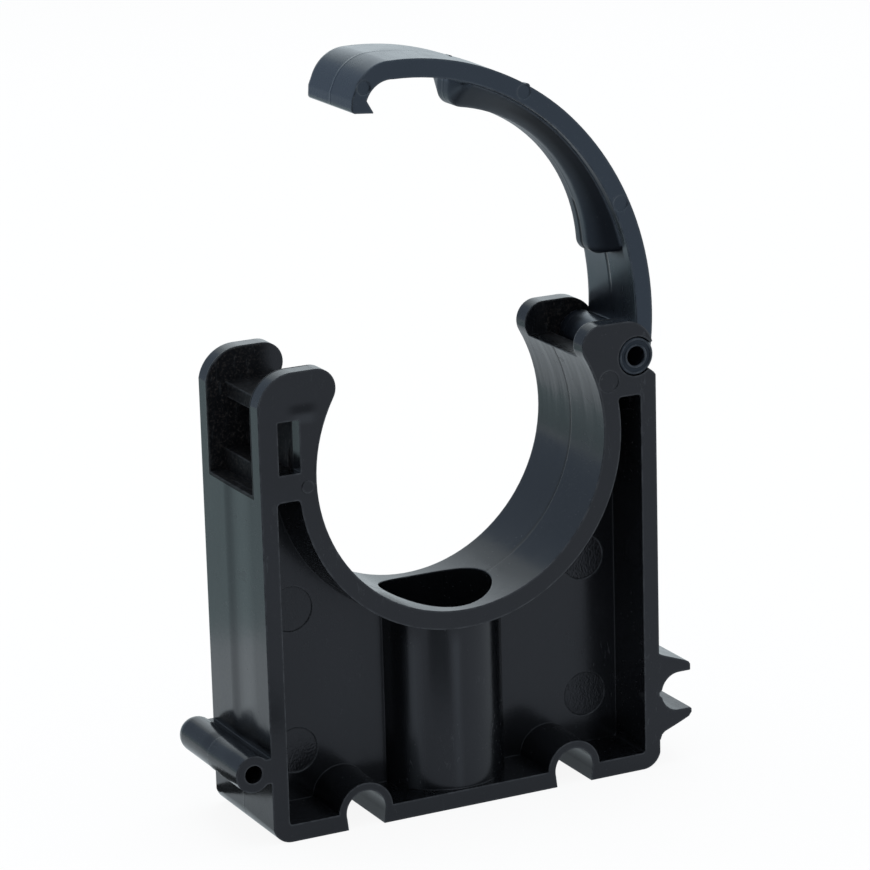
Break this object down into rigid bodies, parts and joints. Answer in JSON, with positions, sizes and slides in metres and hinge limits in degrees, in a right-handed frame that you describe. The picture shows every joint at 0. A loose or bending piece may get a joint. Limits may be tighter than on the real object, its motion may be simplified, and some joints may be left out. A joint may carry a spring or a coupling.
{
  "type": "pipe clip",
  "caption": "Plastic snap-strap pipe clip with a round pipe seat, hinged retaining strap, screw boss and side coupling.",
  "frame": {"origin": "middle of the base face, on the wall or rail", "axes": "+Z away from the wall towards the pipe, Y along the pipe, +X towards the strap's hinge"},
  "size_m": [0.0807, 0.0243, 0.1199],
  "materials": {
    "black_plastic": "satin moulded black",
    "black_plastic_strap": "satin moulded black"
  },
  "bodies": {
    "body": {"clip_body": "black_plastic"},
    "strap": {"retaining_strap": "black_plastic_strap"}
  },
  "joints": [
    {"name": "strap_hinge", "type": "hinge", "parent": "body", "child": "strap", "pos_m": [0.03093, 0, 0.06905], "axis": [0, -1, 0], "range_deg": [-90, 47.5]}
  ]
}
